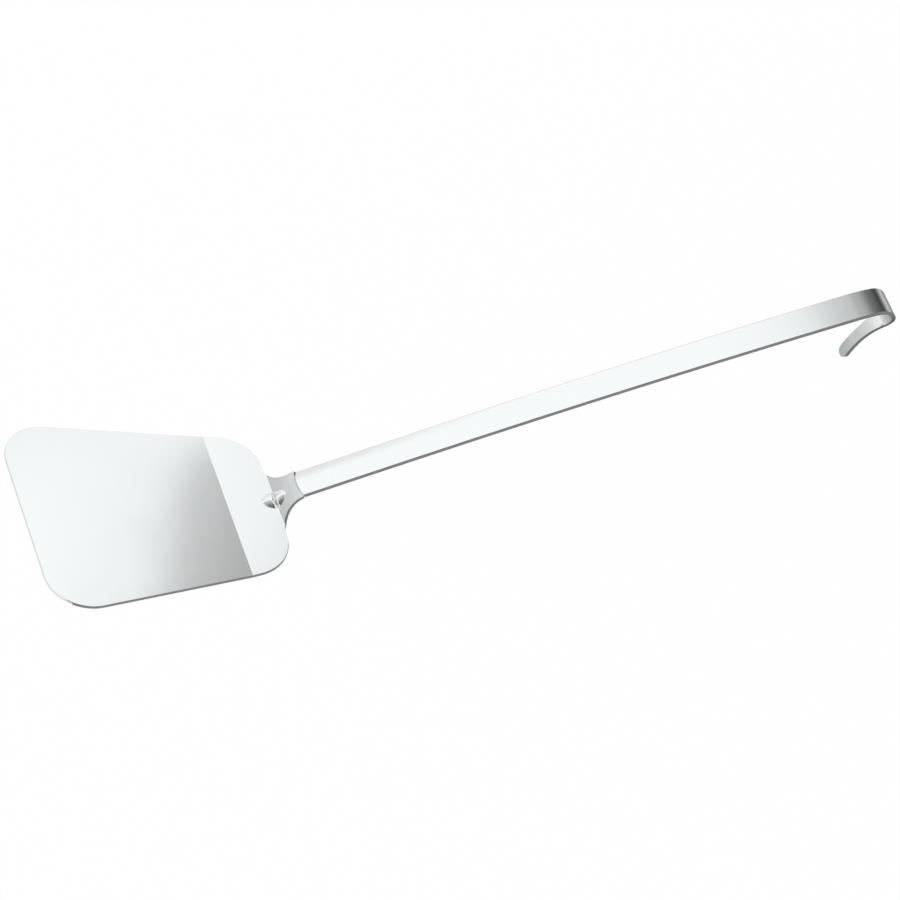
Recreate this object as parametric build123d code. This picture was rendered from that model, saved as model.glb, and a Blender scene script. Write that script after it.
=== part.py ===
from build123d import *
from math import acos, atan2, cos, degrees, hypot, radians, sin, tan
import os

# A sheet-steel kitchen turner, in millimetres. The origin is the middle of the underside of the flat
# blade, +X runs along the axis towards the handle and its hook, and +Z is up.

# Blade sheet
blade_thickness = 2.0
flat_length = 121.5
front_width = 145.5
rear_width = 98.5
front_corner_radius = 25.0
rear_land = 0.6

# The strip behind the crease rises a little towards the neck
rise_length = 28.1
rise_angle = 4.4
crease_inner_radius = 3.0

# Neck, bent up out of the blade sheet
neck_bend_inner_radius = 1.0
neck_fillet_radius = 16.0
tang_width = 20.2
tang_length = 15.8
tang_start_angle = 58.0
tang_end_angle = 40.5

# Stiffening dart pressed across the neck bend
dart_width = 12.0
dart_height = 2.9
dart_reach = 10.1
dart_tip_sink = 0.3

# Weld seam between the neck and the handle strip
seam_bulge = 1.4
weld_width = 0.8
weld_bead = 0.15

# Handle strip
handle_thickness = 2.5
handle_length = 337.6
handle_start_angle = 23.5
handle_arch = 3.0
handle_neck_width = 17.5
handle_hook_width = 19.2
crown_length = 215.0
crown_drop = 0.7

# Hanging hook, rolled out of the end of the handle strip, which leads gently into the roll
hook_lead_length = 14.0
hook_lead_turn = 8.0
hook_inner_radius = 7.6
hook_turn = 148.0
hook_throat_width = 12.0
return_length = 33.3
return_flare = 34.7
tip_width = 8.2

# Edges of both sheets are broken by this much, and cuts run over what they cut by the overrun
edge_break = 0.3
overrun = 3.0

# Share of a sideways look that makes a face an outline wall, share of the bend's inner radius that the
# neck's trimming tool is thicker than the sheet, share of the hook's bend where its sides start to
# draw in, and shares along the parts where their sections lie
side_wall_share = 0.2
neck_tool_share = 0.8
hook_taper_start_share = 0.35
crown_section_shares = [0.0, 0.15, 0.3, 0.45, 0.6, 0.75, 0.9, 1.0]
plain_section_shares = [0.25, 0.5, 0.75, 1.0]
neck_section_shares = [0.0, 0.15, 0.3, 0.45, 0.6, 0.8, 1.0]


class SheetPath:
    # The middle line of a bent sheet in the XZ plane, walked run by run from its start.

    def __init__(self, x, z, heading):
        self.runs = []
        self.end = (x, z, heading)
        self.length = 0.0

    def run(self, length, turn=0.0):
        # A straight run, or an arc of this length that turns by so many degrees upwards.
        self.runs.append((self.end, length, turn))
        self.end = self.step(self.end, length, turn)
        self.length += length
        return self

    def bend(self, middle_radius, turn):
        return self.run(radians(abs(turn)) * middle_radius, turn)

    @staticmethod
    def step(start, length, turn):
        x, z, heading = start
        chord = length
        if turn:
            chord = 2 * length / radians(turn) * sin(radians(turn) / 2)
        direction = radians(heading + turn / 2)
        return (x + chord * cos(direction), z + chord * sin(direction), heading + turn)

    def at(self, distance):
        # Place and heading at a distance along the middle line.
        walked = 0.0
        for start, length, turn in self.runs:
            if distance <= walked + length:
                break
            walked += length
        share = (distance - walked) / length
        return self.step(start, share * length, share * turn)

    def across(self, distance):
        # The plane that cuts the sheet square at a distance, with local X along +Y.
        x, z, heading = self.at(distance)
        return Plane(origin=(x, 0, z), x_dir=(0, 1, 0), z_dir=heading_vector(heading))

    def along(self, distance):
        # The plane of the sheet's middle at a distance, with local X along the sheet.
        x, z, heading = self.at(distance)
        return Plane(origin=(x, 0, z), x_dir=heading_vector(heading), z_dir=heading_vector(heading + 90))

    def profile(self, thickness, first=0):
        # The sheet's side view as a face, from the given run to the last.
        sides = {level: [] for level in (thickness / 2, -thickness / 2)}
        for level, edges in sides.items():
            for start, length, turn in self.runs[first:]:
                places = [self.offset(self.step(start, share * length, share * turn), level)
                          for share in (0, 0.5, 1)]
                if turn:
                    edges.append(ThreePointArc(*places))
                else:
                    edges.append(Line(places[0], places[2]))
        upper, lower = sides.values()
        caps = [Line(upper[0] @ 0, lower[0] @ 0), Line(upper[-1] @ 1, lower[-1] @ 1)]
        return Plane.XZ * make_face(upper + lower + caps)

    @staticmethod
    def offset(place, level):
        x, z, heading = place
        return (x - level * sin(radians(heading)), z + level * cos(radians(heading)))


def heading_vector(heading):
    return (cos(radians(heading)), 0, sin(radians(heading)))


def sheet(face, width):
    # A side view drawn out to both sides of the middle plane.
    return extrude(face, amount=width / 2, both=True)


# Side view of the blade sheet, from the front edge over the crease and the neck bend to past the seam
crease_radius = crease_inner_radius + blade_thickness / 2
crease_setback = crease_radius * tan(radians(rise_angle / 2))
neck_bend_radius = neck_bend_inner_radius + blade_thickness / 2
neck_bend_turn = tang_start_angle - rise_angle

blade_path = SheetPath(-flat_length / 2 - overrun, blade_thickness / 2, 0)
blade_path.run(overrun + flat_length - crease_setback)
blade_path.bend(crease_radius, rise_angle)
blade_path.run(rise_length - crease_setback)
rear_distance = blade_path.length
blade_path.bend(neck_bend_radius, neck_bend_turn)
tang_distance = blade_path.length
blade_path.run(tang_length, tang_end_angle - tang_start_angle)
seam_distance = blade_path.length
seam_x, seam_z, _ = blade_path.end
blade_path.run(overrun)

# Side view of the handle strip, from before the seam to the tip of the hook
hook_radius = hook_inner_radius + handle_thickness / 2
handle_path = SheetPath(*SheetPath.step((seam_x, seam_z, handle_start_angle), -overrun, 0))
handle_path.run(overrun)
handle_path.run(handle_length, -handle_arch)
lead_distance = handle_path.length
lead_run = len(handle_path.runs)
handle_path.run(hook_lead_length, -hook_lead_turn)
hook_distance = handle_path.length
handle_path.bend(hook_radius, -hook_turn)
throat_distance = handle_path.length
handle_path.run(return_length, return_flare)
tip_x, tip_z, _ = handle_path.end
handle_path.run(overrun)

# The seam bulges towards the blade, on a cylinder square to the mean of the two sheets
seam_radius = (handle_neck_width ** 2 / 4 + seam_bulge ** 2) / (2 * seam_bulge)
seam_normal_heading = (tang_end_angle + handle_start_angle) / 2 + 90
seam_plane = Plane(
    origin=(seam_x, 0, seam_z),
    x_dir=heading_vector(seam_normal_heading - 90),
    z_dir=heading_vector(seam_normal_heading),
)
seam_axis = seam_plane * Location((seam_radius - seam_bulge / 2, 0, 0))
seam_reach = handle_neck_width


def seam_cylinder(radius):
    return seam_axis * Cylinder(radius, seam_reach)


def blade_outline():
    # The trapezoid of the blade with its four rounded corners, drawn on the raised strip's plane.
    # The rear corners are as round as the room beside the neck fillets allows, but for a small land.
    front = -flat_length * cos(radians(rise_angle))
    corners = [
        (front, -front_width / 2),
        (front, front_width / 2),
        (rise_length, rear_width / 2),
        (rise_length, -rear_width / 2),
    ]
    flare = degrees(atan2((front_width - rear_width) / 2, rise_length - front))
    room = rear_width / 2 - rear_land - tang_width / 2 - neck_fillet_radius
    rear_corner_radius = room * tan(radians(90 + flare) / 2)
    outline = make_face(Polyline(*corners, close=True))
    outline = fillet(outline.vertices().group_by(Axis.X)[0], front_corner_radius)
    return fillet(outline.vertices().group_by(Axis.X)[-1], rear_corner_radius)


def neck_section(distance):
    # Square section of the neck's tool, as wide as the neck fillets leave the neck at this distance.
    fillet_run = min(distance - rear_distance, neck_fillet_radius)
    turned = acos(1 - fillet_run / neck_fillet_radius)
    width = tang_width + 2 * neck_fillet_radius * (1 - sin(turned))
    thickness = blade_thickness + neck_tool_share * neck_bend_inner_radius
    return blade_path.across(distance) * Rectangle(width, thickness)


def neck_tool():
    # The neck's side walls stand square to the bent sheet, so the tool that trims them follows the bend.
    bend_length = tang_distance - rear_distance
    bend_part = [neck_section(rear_distance + share ** 2 * bend_length) for share in neck_section_shares]
    fillet_rest = neck_fillet_radius - bend_length
    tang_part = [neck_section(tang_distance + share * fillet_rest) for share in neck_section_shares]
    tang_part.append(neck_section(seam_distance + overrun))
    return loft(bend_part), loft(tang_part)


def dart_lobe():
    # The front lobe of the dart: its ridge, and the hollow that lies under it.
    # A cone has its point just under the sheet's upper face and its axis dips towards the bend, so
    # that what stands out is a low ridge with the dart's height and width at the bend.
    front_x, front_z = SheetPath.offset(blade_path.at(bend_distance - dart_reach), blade_thickness / 2)
    reach = hypot(corner_x - front_x, corner_z - front_z)
    ridge_slope = atan2(dart_height, reach)
    half_spread = atan2(dart_width / 2, reach)
    dip = atan2(cos(ridge_slope) - cos(half_spread), sin(ridge_slope))
    cone_length = reach + 2 * overrun
    cone_radius = cone_length * tan(ridge_slope + dip)
    cone = Cone(cone_radius, 0, cone_length, align=(Align.CENTER, Align.CENTER, Align.MAX))
    surface = blade_path.along(bend_distance - dart_reach) * Pos(0, 0, blade_thickness / 2)
    pointed = Pos(0, 0, -dart_tip_sink) * Rot(0, degrees(dip) - 90, 0) * cone

    room = 2 * cone_length
    above = Pos(0, 0, -blade_thickness / 2) * Box(
        room, room, room, align=(Align.CENTER, Align.CENTER, Align.MIN))
    in_front = dart_plane * Box(room, room, room, align=(Align.CENTER, Align.CENTER, Align.MAX))
    ridge = (surface * (pointed & above)) & in_front
    hollow = (surface * Pos(0, 0, -blade_thickness) * pointed) & in_front
    return ridge, hollow


# The dart's two lobes mirror each other in a plane through the upper corner of the neck bend, which
# bisects the raised strip and the chord of the neck as far as the dart reaches.
bend_setback = neck_bend_radius * tan(radians(neck_bend_turn / 2))
bend_distance = rear_distance + bend_setback
bend_x, bend_z, _ = SheetPath.step(blade_path.at(rear_distance), bend_setback, 0)
corner_rise = blade_thickness / 2 / cos(radians(neck_bend_turn / 2))
corner_x, corner_z = SheetPath.offset((bend_x, bend_z, rise_angle + neck_bend_turn / 2), corner_rise)
rear_x, rear_z = SheetPath.offset(
    blade_path.at(tang_distance - bend_setback + dart_reach), blade_thickness / 2)
dart_neck_heading = degrees(atan2(rear_z - corner_z, rear_x - corner_x))
dart_plane = Plane(
    origin=(corner_x, 0, corner_z),
    x_dir=(0, 1, 0),
    z_dir=heading_vector((rise_angle + dart_neck_heading) / 2),
)


def is_outline_wall(face):
    # The side walls look sideways, and the front edge and the hook's tip close them off.
    middle = face.position_at(0.5, 0.5)
    return abs(face.normal_at(middle).Y) > side_wall_share


def broken(solid, walls, ends):
    # Breaks the edges where the outline's walls meet the two faces of the sheet, and leaves the
    # end faces crisp, where another sheet or another part of the same sheet carries on.
    edges = [edge for wall in walls for edge in wall.edges()]
    kept = [edge for end in ends for edge in end.edges()]
    crisp = [edge for edge in edges if edges.count(edge) == 1 and edge not in kept]
    return solid.chamfer(edge_break, None, crisp)


def build_blade():
    # The outline is punched square to the raised strip, and the neck is trimmed to its own tool.
    side = sheet(blade_path.profile(blade_thickness), front_width)
    outline_plane = blade_path.along(rear_distance) * Location((-rise_length, 0, 0))
    punch = extrude(outline_plane * blade_outline(), amount=flat_length, both=True)
    blade = side & punch
    for tool in neck_tool():
        blade += side & tool
    blade -= seam_cylinder(seam_radius + weld_width / 2)

    walls = blade.faces().filter_by(is_outline_wall)
    front = blade.faces().sort_by(Axis.X)[0]
    seam = blade.faces().sort_by(Axis.X)[-1]
    blade = broken(blade, [*walls, front], [seam])

    # The dart is pressed up from below across the neck bend
    ridge, hollow = dart_lobe()
    blade += ridge + mirror(ridge, dart_plane)
    return blade - hollow - mirror(hollow, dart_plane)


def handle_width(distance):
    share = (distance - overrun) / (lead_distance - overrun)
    return handle_neck_width + share * (handle_hook_width - handle_neck_width)


def handle_section(distance, drop):
    # Square section through the strip, with broken corners, and its sides pressed down by the drop
    # of the crown.
    half, level = handle_width(distance) / 2, handle_thickness / 2
    inset = half - edge_break
    faces = []
    for height, outwards in ((level, 1), (-level, -1)):
        sag = drop * (inset / half) ** 2
        ends = [(-inset, height - sag), (inset, height - sag)]
        if drop:
            faces.append(ThreePointArc(ends[0], (0, height), ends[1]))
        else:
            faces.append(Line(*ends))
        corner = height - drop - outwards * edge_break
        faces += [Line(ends[0], (-half, corner)), Line(ends[1], (half, corner))]
    sides = [Line(faces[number] @ 1, faces[number + 3] @ 1) for number in (1, 2)]
    return handle_path.across(distance) * make_face(faces + sides)


def build_bar():
    # The arched strip from before the seam to the hook's lead, its crown fading out along the way.
    sections = []
    for share in crown_section_shares:
        drop = crown_drop * (1 - share ** 2) ** 2
        sections.append(handle_section(share * crown_length, drop))
    for share in plain_section_shares:
        distance = crown_length + share * (lead_distance - crown_length)
        sections.append(handle_section(distance, 0))
    return loft(sections)


def hook_tool():
    # What is kept of the rolled strip: full width over the top of the roll, then drawn in to the tip.
    # The outline is seen along the axis, as width against height.
    taper_distance = hook_distance + hook_taper_start_share * (throat_distance - hook_distance)
    taper_z = handle_path.at(taper_distance)[1]
    throat_z = handle_path.at(throat_distance)[1]
    tip_radius = tip_width / 2
    places = [
        (handle_hook_width / 2, taper_z),
        (hook_throat_width / 2, throat_z),
        (tip_radius, tip_z + tip_radius),
    ]
    right = Spline(*places, tangents=[(0, -1), (0, -1)])
    left = mirror(right, Plane.YZ)
    tip = ThreePointArc(right @ 1, (0, tip_z), left @ 1)
    outline = make_face([right, tip, left, Line(left @ 0, right @ 0)])
    from_front = Plane(origin=(tip_x - overrun, 0, 0), x_dir=(0, 1, 0), z_dir=(1, 0, 0))
    reach = handle_thickness + 4 * hook_radius + overrun
    drawn_in = from_front * extrude(outline, amount=reach)

    # Above the taper, and over the lead and the start of the roll, the strip keeps its full width
    bend_start = handle_path.at(hook_distance)
    centre_x, centre_z = SheetPath.offset(bend_start, -hook_radius)
    side = reach + hook_lead_length
    room = (side, 2 * handle_hook_width, side)
    above = Pos(centre_x, 0, taper_z) * Box(*room, align=(Align.CENTER, Align.CENTER, Align.MIN))
    start = Pos(centre_x, 0, centre_z) * Box(*room, align=(Align.MAX, Align.CENTER, Align.MIN))
    return drawn_in + above + start


def build_hook():
    # The rolled end of the strip, trimmed to its outline.
    roll = sheet(handle_path.profile(handle_thickness, lead_run), handle_hook_width)
    hook = (roll & hook_tool()).solid()
    start_x, start_z, _ = handle_path.at(lead_distance)
    start = hook.faces().sort_by_distance((start_x, 0, start_z))[0]
    tip = hook.faces().sort_by(Axis.Z)[0]
    return broken(hook, [*hook.faces().filter_by(is_outline_wall), tip], [start])


def build_handle():
    handle = build_bar() + build_hook()
    blade_side = seam_axis * Box(
        2 * seam_radius, 2 * seam_radius, seam_reach / 2, align=(Align.MAX, Align.CENTER, Align.CENTER))
    return handle - (blade_side - seam_cylinder(seam_radius - weld_width / 2))


def build_neck_weld():
    # The seam's bead follows the turn from the neck to the handle, and stands a little proud of both.
    seam_turn = handle_start_angle - tang_end_angle
    seam_setback = neck_bend_radius * tan(radians(-seam_turn / 2))
    start = SheetPath.step((seam_x, seam_z, tang_end_angle), -overrun, 0)
    path = SheetPath(*start).run(overrun - seam_setback)
    path.bend(neck_bend_radius, seam_turn).run(overrun - seam_setback)
    bead = sheet(path.profile(blade_thickness + 2 * weld_bead), handle_neck_width)
    ring = seam_cylinder(seam_radius + weld_width / 2) - seam_cylinder(seam_radius - weld_width / 2)
    return bead & ring


if __name__ == "__main__":
    os.makedirs("parts", exist_ok=True)
    export_step(build_blade(), "parts/blade.step")
    export_step(build_handle(), "parts/handle.step")
    export_step(build_neck_weld(), "parts/neck_weld.step")
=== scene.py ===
import bmesh
import bpy
from math import cos, exp, radians, sin
from mathutils import Matrix, Vector


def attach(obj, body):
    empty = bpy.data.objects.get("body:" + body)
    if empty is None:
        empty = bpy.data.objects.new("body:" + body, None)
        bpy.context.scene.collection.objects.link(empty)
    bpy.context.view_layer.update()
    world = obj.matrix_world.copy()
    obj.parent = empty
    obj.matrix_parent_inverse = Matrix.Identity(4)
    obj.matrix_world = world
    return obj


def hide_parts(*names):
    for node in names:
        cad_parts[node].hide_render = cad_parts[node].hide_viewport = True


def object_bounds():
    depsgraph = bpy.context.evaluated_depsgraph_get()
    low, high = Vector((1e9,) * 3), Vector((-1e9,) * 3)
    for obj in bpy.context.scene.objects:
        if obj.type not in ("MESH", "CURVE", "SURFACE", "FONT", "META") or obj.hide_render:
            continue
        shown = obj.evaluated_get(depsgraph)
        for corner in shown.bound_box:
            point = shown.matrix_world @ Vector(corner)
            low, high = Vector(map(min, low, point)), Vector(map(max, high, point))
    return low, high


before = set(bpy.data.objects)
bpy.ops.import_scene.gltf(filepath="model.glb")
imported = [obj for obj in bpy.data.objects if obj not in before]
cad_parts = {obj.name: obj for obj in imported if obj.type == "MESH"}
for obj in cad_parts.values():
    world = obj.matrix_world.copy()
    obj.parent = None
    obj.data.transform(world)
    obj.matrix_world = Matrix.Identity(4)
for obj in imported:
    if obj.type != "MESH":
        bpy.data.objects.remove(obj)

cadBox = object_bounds()
mm = 0.001
scene = bpy.context.scene
print("frame loaded:", sorted(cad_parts))


# Small helpers

def hexColour(code):
    # sRGB hex to the linear colour that Blender's sockets hold
    parts = [int(code[i:i + 2], 16) / 255 for i in (1, 3, 5)]
    linear = [part / 12.92 if part <= 0.04045 else ((part + 0.055) / 1.055) ** 2.4
              for part in parts]
    return (*linear, 1.0)


def addNode(tree, kind, settings=None, links=None):
    # links: input name or number -> a value, a socket to join to it, or a node (its first output)
    node = tree.nodes.new(kind)
    for name, value in (settings or {}).items():
        setattr(node, name, value)
    for name, value in (links or {}).items():
        if isinstance(value, bpy.types.Node):
            value = value.outputs[0]
        if isinstance(value, bpy.types.NodeSocket):
            tree.links.new(value, node.inputs[name])
        else:
            node.inputs[name].default_value = value
    return node


def newTree(owner):
    owner.use_nodes = True
    owner.node_tree.nodes.clear()
    return owner.node_tree


def addObject(name, mesh):
    made = bpy.data.objects.new(name, mesh)
    scene.collection.objects.link(made)
    return made


# Camera, at the photograph's viewing angle

cameraLook = {
    "azimuth": -32.029,
    "elevation": 43.907,
    "roll": 20.11,
    "lens": 206.57,
    "sensorWidth": 36,
    "distance": 2.96318,
    "clipEnd": 50,
    "turnerCentre": (88.85 * mm, 0, 1.0 * mm),
    "centreInView": (-101.43 * mm, -30.77 * mm),
}


def makeCamera():
    look = cameraLook
    azimuth, elevation, roll = (radians(look[key]) for key in ("azimuth", "elevation", "roll"))
    right = Vector((cos(azimuth), sin(azimuth), 0))
    back = Vector((sin(azimuth) * cos(elevation), -cos(azimuth) * cos(elevation), sin(elevation)))
    up = back.cross(right)
    rolledRight = cos(roll) * right + sin(roll) * up
    rolledUp = cos(roll) * up - sin(roll) * right
    offX, offY = look["centreInView"]
    centre = Vector(look["turnerCentre"])
    place = centre - offX * rolledRight - offY * rolledUp + look["distance"] * back
    data = bpy.data.cameras.new("photoCamera")
    data.lens = look["lens"]
    data.sensor_width = look["sensorWidth"]
    data.clip_end = look["clipEnd"]
    camera = addObject("photoCamera", data)
    turned = Matrix((rolledRight, rolledUp, back)).transposed().to_4x4()
    camera.matrix_world = Matrix.Translation(place) @ turned
    scene.camera = camera


makeCamera()
print("camera made")


# Materials

grainLook = {"detail": 3.0, "roughness": 0.6}


def grain(tree, acrossMm, alongMm, mapName=None):
    # Noise of one size along X and another across it, for polishing lines and marks: on the part's
    # own axes, or on a piece's map
    if mapName:
        place = addNode(tree, "ShaderNodeUVMap", {"uv_map": mapName}).outputs["UV"]
    else:
        place = addNode(tree, "ShaderNodeTexCoord").outputs["Object"]
    stretched = addNode(tree, "ShaderNodeMapping", links={
        "Vector": place, "Scale": [1 / side / mm for side in (alongMm, acrossMm, acrossMm)]})
    return addNode(tree, "ShaderNodeTexNoise", links={
        "Vector": stretched, "Scale": 1.0,
        "Detail": grainLook["detail"], "Roughness": grainLook["roughness"]}).outputs["Fac"]


def bareSteel(tree, colour, roughness, relief, depth):
    # Ends a material as bare metal with this relief, whose depth is in mm
    bump = addNode(tree, "ShaderNodeBump", links={
        "Strength": 1.0, "Distance": depth * mm, "Height": relief})
    shader = addNode(tree, "ShaderNodeBsdfPrincipled", links={
        "Base Color": colour, "Metallic": 1.0, "Roughness": roughness, "Normal": bump})
    addNode(tree, "ShaderNodeOutputMaterial", links={"Surface": shader})


steelLook = {
    "colour": "#E1E4E4",
    "roughness": 0.10,
    "lineSpacing": 1.4,
    "lineLength": 45,
    "lineDepth": 0.0006,
    # faint smudges, between the noise's usual lowest and highest values
    "smudgeSize": 35,
    "smudgeRoughness": 0.02,
    "smudgeLowest": 0.3,
    "smudgeHighest": 0.7,
}


def steelSheet(name, mapName=None):
    # Stainless steel sheet, cold rolled and mirror polished: clear reflections, drawn out a little
    # by the polishing lines. The real lines are under 0.1 mm apart, and are drawn coarser here so
    # that they show.
    look = steelLook
    material = bpy.data.materials.new(name)
    tree = newTree(material)
    lines = grain(tree, look["lineSpacing"], look["lineLength"], mapName)
    smudge = grain(tree, look["smudgeSize"], look["smudgeSize"], mapName)
    roughness = addNode(tree, "ShaderNodeMapRange", links={
        "Value": smudge, "From Min": look["smudgeLowest"], "From Max": look["smudgeHighest"],
        "To Min": look["roughness"] - look["smudgeRoughness"],
        "To Max": look["roughness"] + look["smudgeRoughness"]})
    bareSteel(tree, hexColour(look["colour"]), roughness, lines, look["lineDepth"])
    return material


# the edges' greys are partly the cut steel's own tone and partly painted shade on the walls
edgeLook = {
    "light": "#929595",
    "dark": "#6E7172",
    "roughness": 0.42,
    "markSpacing": 0.8,
    "markLength": 2.5,
    "markDepth": 0.01,
}
weldLook = {
    "light": "#D2D5D5",
    "dark": "#A2A19F",
    # the far end's dark tone is painted shade
    "farEndShadeTone": "#4A4845", "farEndShadeFrom": 5.0, "farEndShadeTo": 7.6,
    "roughness": 0.30,
    "markSpacing": 0.9,
    "markLength": 3.0,
    "markDepth": 0.02,
}


def dullSteel(name, look):
    # Bare steel with fine marks across it, which mix its two greys and leave it only a soft sheen
    material = bpy.data.materials.new(name)
    tree = newTree(material)
    marks = grain(tree, look["markLength"], look["markSpacing"])
    tone = addNode(tree, "ShaderNodeMix", {"data_type": "RGBA"}, {
        "Factor": marks, "A": hexColour(look["dark"]), "B": hexColour(look["light"])}).outputs[2]
    if "farEndShadeTone" in look:
        # painted shade: the seam's far end is darkened, for the shadow where the handle's raised
        # end steps up from the tang
        place = addNode(tree, "ShaderNodeTexCoord").outputs["Object"]
        across = addNode(tree, "ShaderNodeSeparateXYZ", links={0: place}).outputs["Y"]
        end = addNode(tree, "ShaderNodeMapRange", links={
            "Value": across, "From Min": look["farEndShadeFrom"] * mm, "From Max": look["farEndShadeTo"] * mm})
        tone = addNode(tree, "ShaderNodeMix", {"data_type": "RGBA"}, {
            "Factor": end, "A": tone, "B": hexColour(look["farEndShadeTone"])}).outputs[2]
    bareSteel(tree, tone, look["roughness"], marks, look["markDepth"])
    return material


polishedSteel = steelSheet("polishedStainlessSheet")
stripSteel = steelSheet("polishedStainlessStrip", "stripMap")
# blanked and deburred: duller than the faces, and a darker grey that is partly the cut steel's own
# tone and partly painted shade
edgeSteel = dullSteel("deburredEdgeWithPaintedShade", edgeLook)
# ground nearly flush: a dull line with a faint ripple, and painted shade at its far end
weldSteel = dullSteel("dressedWeldSteel", weldLook)
print("materials made")


# Blade and weld seam, from the frame's own meshes

mergeLook = {
    "mergeWithin": 0.002, "cutWithin": 0.001,  # mm
    "flatWithin": 0.05, "crispAngle": 30,  # degrees
    "largeFaceWeight": 100,
}
bladeLook = {
    # the box that the dart lies in, its crisp edges, and how much fuller its near side is
    "dartFrom": 75, "dartTo": 97, "dartHalfWidth": 7.0,
    "dartCrispAngle": 24, "dartNearFullness": 1.22,
    # the fold between the dart's two lobes: a point on it, its slope, and how it is pressed in
    "foldPlace": (89.19, 4.19), "foldAngle": 28.8, "foldDepth": 0.75, "foldWidth": 0.55,
    "foldCuts": (-1.6, -1.1, -0.7, -0.35, 0, 0.35, 0.7, 1.1, 1.6),
    # each lobe's slope, its reach from the fold, the length of its sharp nose, how blunt its tip is
    # made, and how much of that raises its ridge
    "lobeSlopes": (4.4, 53.2), "lobeReach": 8.6, "lobeNose": 1.24,
    "lobeCuts": (2.2, 3.4, 4.6, 5.8, 6.8, 7.6, 8.2),
    "lobeBluntness": 0.39, "ridgeShare": 1.2,
    "bendSag": 0.3,  # up to this height over its slopes it is the plain bend, which stays as it is
    # which faces are polished: where the front edge and the neck lie, and the limits of the normals
    "frontEdge": -50, "neckFrom": 88.0,
    "levelTilt": 0.9, "frontTilt": -0.4, "neckSideTilt": 0.35, "neckEndTilt": 0.9,
}


def inDart(place):
    look = bladeLook
    return look["dartFrom"] < place.x < look["dartTo"] and abs(place.y) < look["dartHalfWidth"]


def bladeFace(normal, place):
    # True on the sheet's two faces, and false on its walls and broken edges
    look = bladeLook
    if abs(normal.z) > look["levelTilt"] or inDart(place):
        return True
    if place.x < look["frontEdge"]:
        return normal.x < look["frontTilt"]  # the front edge is ground and polished with the faces
    facesOut = abs(normal.y) < look["neckSideTilt"] and normal.x < look["neckEndTilt"]
    return place.x > look["neckFrom"] and facesOut


def plainCrisp(edge):
    return edge.calc_face_angle(0) > radians(mergeLook["crispAngle"])


def bladeCrisp(edge):
    middle = (edge.verts[0].co + edge.verts[1].co) / 2 / mm
    if inDart(middle):
        return edge.calc_face_angle(0) > radians(bladeLook["dartCrispAngle"])
    return plainCrisp(edge)


def slopedAxes(angle):
    # The directions up a slope and squarely off it, in the turner's middle plane
    slope = radians(angle)
    return Vector((cos(slope), 0, sin(slope))), Vector((-sin(slope), 0, cos(slope)))


def pressedDart(work):
    # Blunts the tips of the dart's two lobes, presses a fold in where they meet, and makes the
    # dart's near side a little fuller than its far side, as a hand press leaves it
    look = bladeLook
    foldX, foldZ = look["foldPlace"]
    origin = Vector((foldX, 0, foldZ))
    across, outwards = slopedAxes(look["foldAngle"])

    def cutDart(direction, distances):
        for distance in distances:
            faces = [face for face in work.faces
                     if all(inDart(vert.co / mm) for vert in face.verts)]
            edges = {edge for face in faces for edge in face.edges}
            verts = {vert for face in faces for vert in face.verts}
            bmesh.ops.bisect_plane(
                work, geom=[*verts, *edges, *faces], dist=mergeLook["cutWithin"] * mm,
                plane_co=(origin + distance * direction) * mm, plane_no=direction)

    for slope, side in zip(look["lobeSlopes"], (-1, 1)):
        cutDart(slopedAxes(slope)[0], [side * distance for distance in look["lobeCuts"]])
    cutDart(across, look["foldCuts"])
    work.normal_update()
    reach, nose = look["lobeReach"], look["lobeNose"]
    for vert in work.verts:
        offset = vert.co / mm - origin
        if inDart(vert.co / mm):
            along, above = slopedAxes(look["lobeSlopes"][offset.dot(across) > 0])
            left = max(reach - abs(offset.dot(along)), 0)  # how far it is to the lobe's tip
            blunted = (2 * reach - left) / reach * (reach + nose) / (left + nose)
            fuller = blunted ** look["lobeBluntness"]
            height = offset.dot(above) - look["bendSag"]
            if height > 0 and vert.normal.dot(above) > 0:
                offset += outwards * height * (fuller ** look["ridgeShare"] - 1)
            raised = min(max(offset.dot(outwards) - look["bendSag"], 0.0), 1.0)
            profile = exp(-(offset.dot(across) / look["foldWidth"]) ** 2)
            offset -= outwards * (look["foldDepth"] * raised * profile)
            offset.y *= fuller * (look["dartNearFullness"] if offset.y < 0 else 1)
            vert.co = (origin + offset) * mm


def mergedCopy(node, name, isFace, isCrisp, materials, reshape=None):
    # The node's loose triangles, merged and smoothed over all but the crisp edges
    look = mergeLook
    work = bmesh.new()
    work.from_mesh(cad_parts[node].data)
    bmesh.ops.remove_doubles(work, verts=work.verts, dist=look["mergeWithin"] * mm)
    bmesh.ops.dissolve_degenerate(work, edges=work.edges, dist=look["cutWithin"] * mm)
    if reshape:
        # flat faces become one each, so that none is turned over when its outline moves
        bmesh.ops.dissolve_limit(
            work, angle_limit=radians(look["flatWithin"]), verts=work.verts, edges=work.edges)
        reshape(work)
        work.normal_update()
    for face in work.faces:
        polished = isFace(face.normal, face.calc_center_median() / mm)
        face.smooth = True
        face.material_index = 0 if polished else len(materials) - 1
    for edge in work.edges:
        edge.smooth = len(edge.link_faces) == 2 and not isCrisp(edge)
    mesh = bpy.data.meshes.new(name)
    work.to_mesh(mesh)
    work.free()
    for material in materials:
        mesh.materials.append(material)
    piece = addObject(name, mesh)
    weighted = piece.modifiers.new("weightedNormals", "WEIGHTED_NORMAL")
    weighted.keep_sharp = True
    weighted.weight = look["largeFaceWeight"]
    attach(piece, "root")
    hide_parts(node)
    return piece


bladeSheet = mergedCopy(
    "blade", "bladeSheet", bladeFace, bladeCrisp, [polishedSteel, edgeSteel], pressedDart)
neckSeam = mergedCopy("neck_weld", "neckSeam", lambda normal, place: True, plainCrisp, [weldSteel])
print("blade and seam made")


# Handle, one strip swept along its bent middle line

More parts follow.
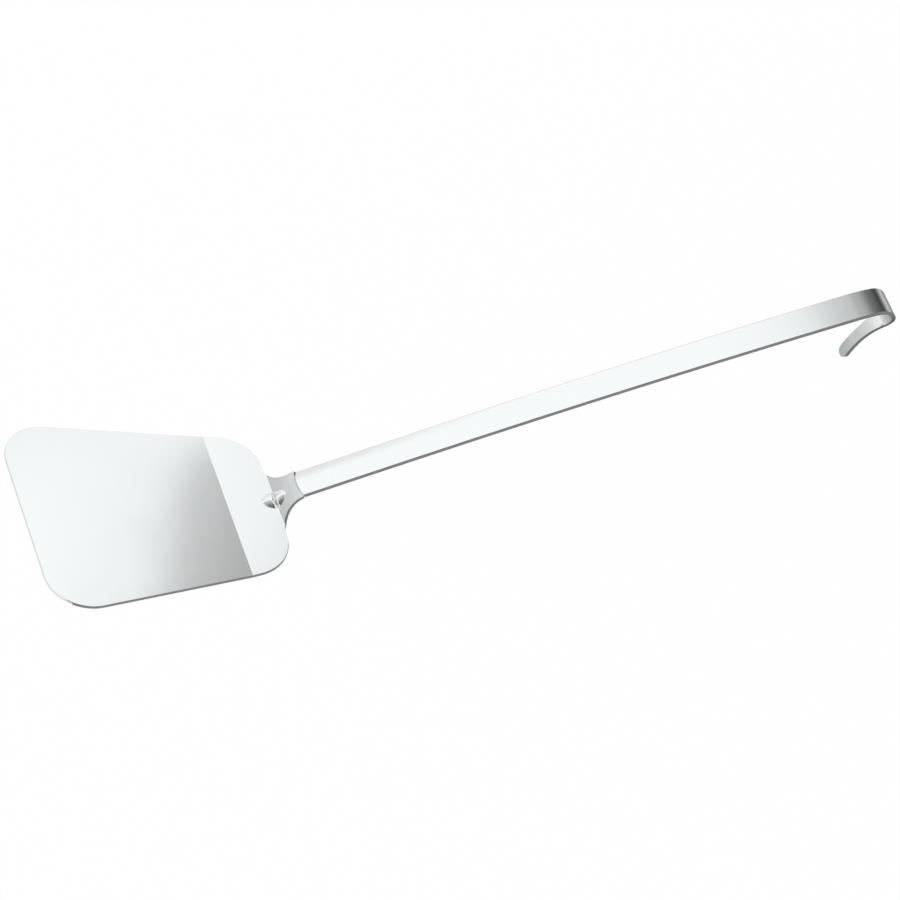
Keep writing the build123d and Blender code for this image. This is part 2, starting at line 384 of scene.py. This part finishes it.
handleLook = {
    "start": (100.583, 16.013), "startAngle": 23.5,
    # length, turn and steps of the shaft, the lead into the hook, its roll, and the return in two
    # parts
    "runs": [(337.6, -3.0, 84), (14.0, -8.0, 14), (22.86, -148.0, 40), (29.2, 30.4, 28),
             (4.1, 4.3, 14)],
    "thickness": 2.5, "neckWidth": 17.5, "hookWidth": 19.2,
    # from this share of the roll on, the strip is drawn in to the throat and the round tip
    "taperShare": 0.35, "throatWidth": 12.0, "tipWidth": 8.2, "tipEndWidth": 0.2,
    "crownLength": 218.0, "crownDrop": 0.7,
    "edgeBreak": 0.3, "breakSteps": 2, "cuts": 4,
    # the end at the seam: its bulge, its shift along the strip, its lean in degrees, and the length
    # of strip that takes this up
    "seamBulge": 1.4, "seamLift": -0.3, "seamLean": 8.5, "seamReach": 18.0,
    "slack": 0.001,  # for comparing lengths that are added up step by step
}


def handleLine(look):
    # The strip's middle line from the seam over the hook to its tip, as (distance, x, z, heading)
    x, z = look["start"]
    heading, walked = look["startAngle"], 0.0
    line = [(walked, x, z, heading)]
    for length, turn, steps in look["runs"]:
        halfTurn = radians(turn / steps / 2)
        chord = length / steps * sin(halfTurn) / halfTurn
        for _ in range(steps):
            x += chord * cos(radians(heading) + halfTurn)
            z += chord * sin(radians(heading) + halfTurn)
            heading += turn / steps
            walked += length / steps
            line.append((walked, x, z, heading))
    return line


def eased(t, length, startValue, startSlope, endValue, endSlope):
    # A cubic between two values, with a given slope at each end
    start = (2 * t ** 3 - 3 * t ** 2 + 1) * startValue
    leaving = (t ** 3 - 2 * t ** 2 + t) * length * startSlope
    end = (3 * t ** 2 - 2 * t ** 3) * endValue
    arriving = (t ** 3 - t ** 2) * length * endSlope
    return start + leaving + end + arriving


def halfWidths(look, line, faceLevel):
    # Half the strip's width along the face at this level: a straight taper up to the hook, full
    # over the top of the roll, and from there drawn in by height to the round tip
    shaft, lead, roll = (run[0] for run in look["runs"][:3])
    taperFrom = shaft + lead + look["taperShare"] * roll
    throatFrom = shaft + lead + roll - look["slack"]
    taperZ = next(z for walked, x, z, heading in line if walked >= taperFrom)
    throatZ = next(z for walked, x, z, heading in line if walked >= throatFrom)
    full, throat, tip, least = (
        look[key] / 2 for key in ("hookWidth", "throatWidth", "tipWidth", "tipEndWidth"))
    roundZ = line[-1][2] + tip
    upper, lower = taperZ - throatZ, throatZ - roundZ
    slope = lower * (full - throat) / upper + upper * (throat - tip) / lower
    slope = 3 * slope / (2 * (upper + lower))  # at the throat, where both curves bend alike
    widths = []
    for walked, x, z, heading in line:
        height = z + faceLevel * cos(radians(heading))
        if walked <= shaft:
            widening = look["hookWidth"] - look["neckWidth"]
            half = (look["neckWidth"] + walked / shaft * widening) / 2
        elif walked <= shaft + lead or height >= taperZ:
            half = full
        elif height >= throatZ:
            half = eased((height - throatZ) / upper, upper, throat, slope, full, 0)
        elif height >= roundZ:
            half = eased((height - roundZ) / lower, lower, tip, 0, throat, slope)
        else:
            half = max(tip ** 2 - (roundZ - height) ** 2, least ** 2) ** 0.5
        widths.append(half)
    return widths


def stripTree():
    # Sweeps a section with broken corners along a line: the line's own half widths set the width,
    # the sides drop to a crown that fades out, and the end is shifted onto the curved seam
    tree = bpy.data.node_groups.new("sweptStrip", "GeometryNodeTree")
    sockets = {"line": "NodeSocketGeometry", "breakSteps": "NodeSocketInt", "cuts": "NodeSocketInt",
               "faceFinish": "NodeSocketMaterial", "edgeFinish": "NodeSocketMaterial"}
    for name in ("thickness", "width", "edgeBreak", "crownLength", "crownDrop", "seamBulge",
                 "seamLift", "seamLean", "seamReach"):
        sockets[name] = "NodeSocketFloat"
    for name, kind in sockets.items():
        tree.interface.new_socket(name, in_out="INPUT", socket_type=kind)
    tree.interface.new_socket("strip", in_out="OUTPUT", socket_type="NodeSocketGeometry")
    values = dict(addNode(tree, "NodeGroupInput").outputs.items())

    # the line, and the section at full size with its corners broken
    line = addNode(tree, "GeometryNodeMeshToCurve", links={0: values["line"]})
    section = addNode(tree, "GeometryNodeCurvePrimitiveQuadrilateral", {"mode": "RECTANGLE"}, {
        "Width": values["width"], "Height": values["thickness"]})
    section = addNode(tree, "GeometryNodeFilletCurve", {"mode": "POLY"}, {
        "Curve": section, "Count": values["breakSteps"], "Radius": values["edgeBreak"],
        "Limit Radius": True})
    section = addNode(tree, "GeometryNodeSubdivideCurve", links={
        "Curve": section, "Cuts": values["cuts"]})

    # their points keep these values for the swept mesh to read
    there = addNode(tree, "GeometryNodeInputPosition").outputs[0]
    tangent = addNode(tree, "GeometryNodeInputTangent").outputs[0]
    distance = addNode(tree, "GeometryNodeSplineParameter").outputs["Length"]
    onLine = [("place", "VECTOR", there), ("ahead", "VECTOR", tangent),
              ("walked", "FLOAT", distance)]
    onSection = [("corner", "VECTOR", there)]
    for part, curve, kept in (("lineCurve", line, onLine), ("sectionCurve", section, onSection)):
        keeper = addNode(tree, "GeometryNodeCaptureAttribute", links={0: curve})
        for number, (name, kind, value) in enumerate(kept):
            keeper.capture_items.new(kind, name)
            tree.links.new(value, keeper.inputs[number + 1])
        values.update(zip([part] + [name for name, kind, value in kept], keeper.outputs))
    swept = addNode(tree, "GeometryNodeCurveToMesh", links={
        "Curve": values["lineCurve"], "Profile Curve": values["sectionCurve"], "Fill Caps": True})
    for name in ("innerHalf", "outerHalf"):
        values[name] = addNode(tree, "GeometryNodeInputNamedAttribute", {"data_type": "FLOAT"}, {
            "Name": name}).outputs[0]
    sides = addNode(tree, "ShaderNodeSeparateXYZ", links={0: values["corner"]}).outputs
    values["sideX"], values["sideY"] = sides["X"], sides["Y"]

    # each row: what is worked out, how, and from what
    faceShare = 0.4999  # of the thickness: a little inside both faces
    cornerShare = 1.02  # of the edge break: a little past the corner
    for name, operation, *given in [
            # width, between the half widths of the two faces
            ("level", "DIVIDE", "sideY", "thickness"),
            ("level", "ADD", "level", 0.5),
            ("spread", "SUBTRACT", "outerHalf", "innerHalf"),
            ("half", "MULTIPLY_ADD", "spread", "level", "innerHalf"),
            ("share", "MULTIPLY", "sideX", 2.0),
            ("share", "DIVIDE", "share", "width"),
            ("across", "MULTIPLY", "share", "half"),
            ("squared", "MULTIPLY", "share", "share"),
            # crown
            ("gone", "DIVIDE", "walked", "crownLength"),
            ("gone", "MINIMUM", "gone", 1.0),
            ("fade", "MULTIPLY", "gone", "gone"),
            ("fade", "SUBTRACT", 1.0, "fade"),
            ("fade", "MULTIPLY", "fade", "fade"),
            ("drop", "MULTIPLY", "crownDrop", "fade"),
            ("drop", "MULTIPLY", "drop", "squared"),
            ("height", "SUBTRACT", "sideY", "drop"),
            # seam
            ("near", "DIVIDE", "walked", "seamReach"),
            ("near", "SUBTRACT", 1.0, "near"),
            ("near", "MAXIMUM", "near", 0.0),
            ("curve", "MULTIPLY_ADD", "squared", "seamBulge", "seamLift"),
            ("lean", "TANGENT", "seamLean"),
            ("lean", "MULTIPLY", "lean", "sideY"),
            ("shift", "SUBTRACT", "curve", "lean"),
            ("shift", "MULTIPLY", "shift", "near"),
            # the two faces, and the edges where their broken corners start
            ("faceLevel", "MULTIPLY", "thickness", faceShare),
            ("onFace", "ABSOLUTE", "sideY"),
            ("onFace", "GREATER_THAN", "onFace", "faceLevel"),
            ("broken", "MULTIPLY", "edgeBreak", cornerShare),
            ("corners", "MULTIPLY", "width", 0.5),
            ("corners", "SUBTRACT", "corners", "broken"),
            ("atCorner", "ABSOLUTE", "sideX"),
            ("atCorner", "GREATER_THAN", "atCorner", "corners"),
            ("atCorner", "MULTIPLY", "onFace", "atCorner")]:
        values[name] = addNode(tree, "ShaderNodeMath", {"operation": operation}, {
            number: values.get(item, item) for number, item in enumerate(given)}).outputs[0]

    # each point's place, from the line sideways, up and ahead, and its place on the flat strip
    upwards = addNode(tree, "ShaderNodeVectorMath", {"operation": "CROSS_PRODUCT"}, {
        0: values["ahead"], 1: (0, 1, 0)})
    sideways = addNode(tree, "ShaderNodeCombineXYZ", links={"Y": values["across"]})
    moved = addNode(tree, "ShaderNodeVectorMath", {"operation": "ADD"}, {
        0: values["place"], 1: sideways})
    for direction, length in ((upwards, "height"), (values["ahead"], "shift")):
        step = addNode(tree, "ShaderNodeVectorMath", {"operation": "SCALE"}, {
            0: direction, "Scale": values[length]})
        moved = addNode(tree, "ShaderNodeVectorMath", {"operation": "ADD"}, {0: moved, 1: step})
    flat = addNode(tree, "ShaderNodeCombineXYZ", links={
        "X": values["walked"], "Y": values["across"]})

    # the faces stay crisp against their broken corners, and the map is for the polishing lines
    strip = swept
    for kind, settings, links in [
            ("GeometryNodeSetPosition", {}, {"Position": moved}),
            ("GeometryNodeSetShadeSmooth", {"domain": "EDGE"}, {
                "Selection": values["atCorner"], "Shade Smooth": False}),
            ("GeometryNodeStoreNamedAttribute", {"data_type": "FLOAT2", "domain": "CORNER"}, {
                "Name": "stripMap", "Value": flat}),
            ("GeometryNodeRealizeInstances", {}, {}),
            ("GeometryNodeSetMaterial", {}, {"Material": values["edgeFinish"]}),
            ("GeometryNodeSetMaterial", {}, {
                "Selection": values["onFace"], "Material": values["faceFinish"]})]:
        strip = addNode(tree, kind, settings, {0: strip, **links})
    addNode(tree, "NodeGroupOutput", links={0: strip})
    return tree


def sweptHandle():
    look = handleLook
    line = handleLine(look)
    mesh = bpy.data.meshes.new("handleLine")
    mesh.from_pydata([(x * mm, 0, z * mm) for walked, x, z, heading in line],
                     [(number, number + 1) for number in range(len(line) - 1)], [])
    for name, side in (("innerHalf", -1), ("outerHalf", 1)):
        halves = halfWidths(look, line, side * look["thickness"] / 2)
        widths = mesh.attributes.new(name, "FLOAT", "POINT")
        widths.data.foreach_set("value", [half * mm for half in halves])
    source = addObject("handleLine", mesh)
    modifier = source.modifiers.new("sweptStrip", "NODES")
    modifier.node_group = stripTree()
    inputs = {name: look[name] * mm for name in (
        "thickness", "edgeBreak", "crownLength", "crownDrop", "seamBulge", "seamLift", "seamReach")}
    inputs.update(width=look["neckWidth"] * mm, seamLean=radians(look["seamLean"]),
                  breakSteps=look["breakSteps"], cuts=look["cuts"],
                  faceFinish=stripSteel, edgeFinish=edgeSteel)
    for item in modifier.node_group.interface.items_tree:
        if item.name in inputs:
            modifier[item.identifier] = inputs[item.name]
    evaluated = source.evaluated_get(bpy.context.evaluated_depsgraph_get())
    solid = bpy.data.meshes.new_from_object(evaluated)
    bpy.data.objects.remove(source)
    solid.name = "handleStrip"
    piece = addObject("handleStrip", solid)
    print("handle swept:", len(solid.vertices), "points,", len(solid.polygons), "faces")
    return piece


handleStrip = sweptHandle()
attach(handleStrip, "root")
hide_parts("handle")


# Floor, wall, cards and world

white = hexColour("#FFFFFF")


def makeCard(name, corners, material, seenByCamera=True):
    mesh = bpy.data.meshes.new(name)
    corners = [Vector(corner) * mm for corner in corners]
    mesh.from_pydata(corners, [], [tuple(range(len(corners)))])
    mesh.materials.append(material)
    card = addObject(name, mesh)
    card.visible_camera = seenByCamera
    return card


def levelCorners(low, high, height):
    # The corners of a level rectangle from its low and high corners
    return [(x, y, height) for x, y in (
        (low[0], low[1]), (high[0], low[1]), (high[0], high[1]), (low[0], high[1]))]


def setStops(ramp, stops):
    # Greys on a colour ramp, as (place from 0 to 1, tone)
    elements = ramp.color_ramp.elements
    for number, (place, tone) in enumerate(stops):
        stop = elements[number] if number < 2 else elements.new(place)  # a new ramp has two
        stop.position = place
        stop.color = (tone, tone, tone, 1)


def tonesAlong(tree, value, stops):
    # Straight runs of tone between (place in mm, tone) stops
    low, high = stops[0][0], stops[-1][0]
    share = addNode(tree, "ShaderNodeMapRange", links={
        "Value": value, "From Min": low * mm, "From Max": high * mm})
    ramp = addNode(tree, "ShaderNodeValToRGB", links={0: share})
    setStops(ramp, [((place - low) / (high - low), tone) for place, tone in stops])
    return ramp


def whiteLight(tree, strength):
    # Ends a material as plain white light
    light = addNode(tree, "ShaderNodeEmission", links={"Color": white, "Strength": strength})
    addNode(tree, "ShaderNodeOutputMaterial", links={"Surface": light})


floorLook = {"colour": "#F0F0F0", "whitened": 0.97, "size": 9000, "gap": 0.05}


def whiteFloor():
    # Matt white board; most of what the camera sees of it, straight, in a reflection or through
    # glass, is plain white, and the rest keeps the shadow
    material = bpy.data.materials.new("whiteBoard")
    tree = newTree(material)
    rays = addNode(tree, "ShaderNodeLightPath").outputs
    seen = rays["Is Camera Ray"]
    for ray in ("Is Glossy Ray", "Is Transmission Ray"):
        seen = addNode(tree, "ShaderNodeMath", {"operation": "MAXIMUM"}, {0: seen, 1: rays[ray]})
    share = addNode(tree, "ShaderNodeMath", {"operation": "MULTIPLY"}, {
        0: seen, 1: floorLook["whitened"]})
    board = addNode(tree, "ShaderNodeBsdfDiffuse", links={"Color": hexColour(floorLook["colour"])})
    light = addNode(tree, "ShaderNodeEmission", links={"Color": white, "Strength": 1.0})
    surface = addNode(tree, "ShaderNodeMixShader", links={0: share, 1: board, 2: light})
    addNode(tree, "ShaderNodeOutputMaterial", links={"Surface": surface})
    return material


def makeFloor():
    half = floorLook["size"] / 2
    height = cadBox[0][2] / mm - floorLook["gap"]
    makeCard("floor", levelCorners((-half, -half), (half, half), height), whiteFloor())


wallLook = {
    "y": 600, "left": -1300, "right": 1600, "bottom": 2, "top": 1500, "brightest": 1.225,
    # (height in mm, share of the brightest) at the left end, in the middle and at the right end
    "leftHeights": [(0, 0.58), (150, 0.58), (300, 0.65), (400, 0.69), (460, 0.74), (520, 0.85),
                    (640, 0.90), (760, 1.0)],
    "heights": [(0, 0.95), (430, 0.80), (520, 0.86), (600, 0.96), (660, 1.0)],
    "rightHeights": [(0, 0.30), (100, 0.36), (200, 0.44), (300, 0.51), (450, 0.52), (540, 0.42),
                     (600, 0.28), (660, 0.21), (720, 0.13), (780, 0.09)],
    "leftFrom": -330, "leftTo": -100, "rightFrom": 900, "rightTo": 1010,
    # the flag's places across in mm, with the share of light that is left there, and its foot
    "flag": [(250, 1.0), (285, 0.97), (330, 0.93), (343, 0.85), (356, 0.65), (370, 0.56),
             (395, 0.50), (410, 0.45), (455, 0.44), (480, 0.39), (510, 0.31), (545, 0.18),
             (605, 0.11), (695, 0.07), (900, 0.07), (1000, 0.10)],
    "footFrom": 598, "footTo": 652,
    # the flag's edge isn't upright: (height in mm, share of the reach that it stands to the left)
    "lean": [(588, 0.06), (640, 0.235), (690, 0.235), (740, 0.118), (790, 0.0), (815, 0.0),
             (845, 0.2), (890, 1.0)],
    "leanReach": 68, "leanStart": -16,
}


def softWall():
    # A soft white wall behind the turner, dimmer low down at its left end and dark at its right
    # end, with a dark flag before its right half
    look = wallLook
    material = bpy.data.materials.new("softWall")
    tree = newTree(material)
    place = addNode(tree, "ShaderNodeTexCoord").outputs["Object"]
    parts = addNode(tree, "ShaderNodeSeparateXYZ", links={0: place}).outputs
    x, z = parts["X"], parts["Z"]
    shares = {}
    for part, value in (("left", x), ("right", x), ("foot", z)):
        low, high = look[part + "From"], look[part + "To"]
        shares[part] = addNode(tree, "ShaderNodeMapRange", {"interpolation_type": "SMOOTHSTEP"}, {
            "Value": value, "From Min": low * mm, "From Max": high * mm})
    lean = addNode(tree, "ShaderNodeMath", {"operation": "MULTIPLY_ADD"}, {
        0: tonesAlong(tree, z, look["lean"]), 1: look["leanReach"] * mm, 2: look["leanStart"] * mm})
    leaning = addNode(tree, "ShaderNodeMath", {"operation": "ADD"}, {0: x, 1: lean})
    flag = addNode(tree, "ShaderNodeMix", {"data_type": "FLOAT"}, {
        "Factor": shares["foot"], "A": 1.0, "B": tonesAlong(tree, leaning, look["flag"])})
    middle = addNode(tree, "ShaderNodeMath", {"operation": "MULTIPLY"}, {
        0: tonesAlong(tree, z, look["heights"]), 1: flag})
    light = addNode(tree, "ShaderNodeMix", {"data_type": "FLOAT"}, {
        "Factor": shares["left"], "A": tonesAlong(tree, z, look["leftHeights"]), "B": middle})
    light = addNode(tree, "ShaderNodeMix", {"data_type": "FLOAT"}, {
        "Factor": shares["right"], "A": light, "B": tonesAlong(tree, z, look["rightHeights"])})
    light = addNode(tree, "ShaderNodeMath", {"operation": "MULTIPLY"}, {
        0: light, 1: look["brightest"]})
    whiteLight(tree, light)
    return material


def makeWall():
    look = wallLook
    left, right, bottom, top = (look[key] for key in ("left", "right", "bottom", "top"))
    corners = [(x, look["y"], z) for x, z in (
        (left, bottom), (left, top), (right, top), (right, bottom))]
    makeCard("softWall", corners, softWall(), False)


# grey cards: corners, height and (place from front to back, tone)
cardLooks = {
    "frontCard": {"low": (-1250, -1450), "high": (-150, 450), "height": 1200,
                  "tones": [(-700, 0.08), (-490, 0.16), (-50, 0.52), (420, 0.78)]},
    "hookCard": {"low": (-400, 75), "high": (400, 590), "height": 3,
                 "tones": [(100, 0.55), (500, 0.68)]},
    "rimCard": {"low": (480, -100), "high": (1600, 590), "height": 3,
                "tones": [(0, 0.30), (500, 0.34)]},
}


def greyCard(name):
    # Only reflections see it: it lights nothing by itself and throws no shadow
    look = cardLooks[name]
    material = bpy.data.materials.new(name)
    tree = newTree(material)
    place = addNode(tree, "ShaderNodeTexCoord").outputs["Object"]
    depth = addNode(tree, "ShaderNodeSeparateXYZ", links={0: place}).outputs["Y"]
    whiteLight(tree, tonesAlong(tree, depth, look["tones"]))
    card = makeCard(name, levelCorners(look["low"], look["high"], look["height"]), material, False)
    card.visible_diffuse = False
    card.visible_shadow = False


worldLook = {"levels": [(0.0, 0.60), (0.12, 0.68), (0.25, 0.79), (0.38, 0.92), (0.55, 1.0)]}


def studioWorld():
    # Soft room light, dimmer towards the horizon
    world = bpy.data.worlds.new("studio")
    tree = newTree(world)
    direction = addNode(tree, "ShaderNodeTexCoord").outputs["Generated"]
    height = addNode(tree, "ShaderNodeSeparateXYZ", links={0: direction}).outputs["Z"]
    ramp = addNode(tree, "ShaderNodeValToRGB", links={0: height})
    setStops(ramp, worldLook["levels"])
    background = addNode(tree, "ShaderNodeBackground", links={"Color": ramp, "Strength": 1.0})
    addNode(tree, "ShaderNodeOutputWorld", links={"Surface": background})
    return world


makeFloor()
makeWall()
for name in cardLooks:
    greyCard(name)
scene.world = studioWorld()
scene.view_settings.view_transform = "Standard"
print("stage made")
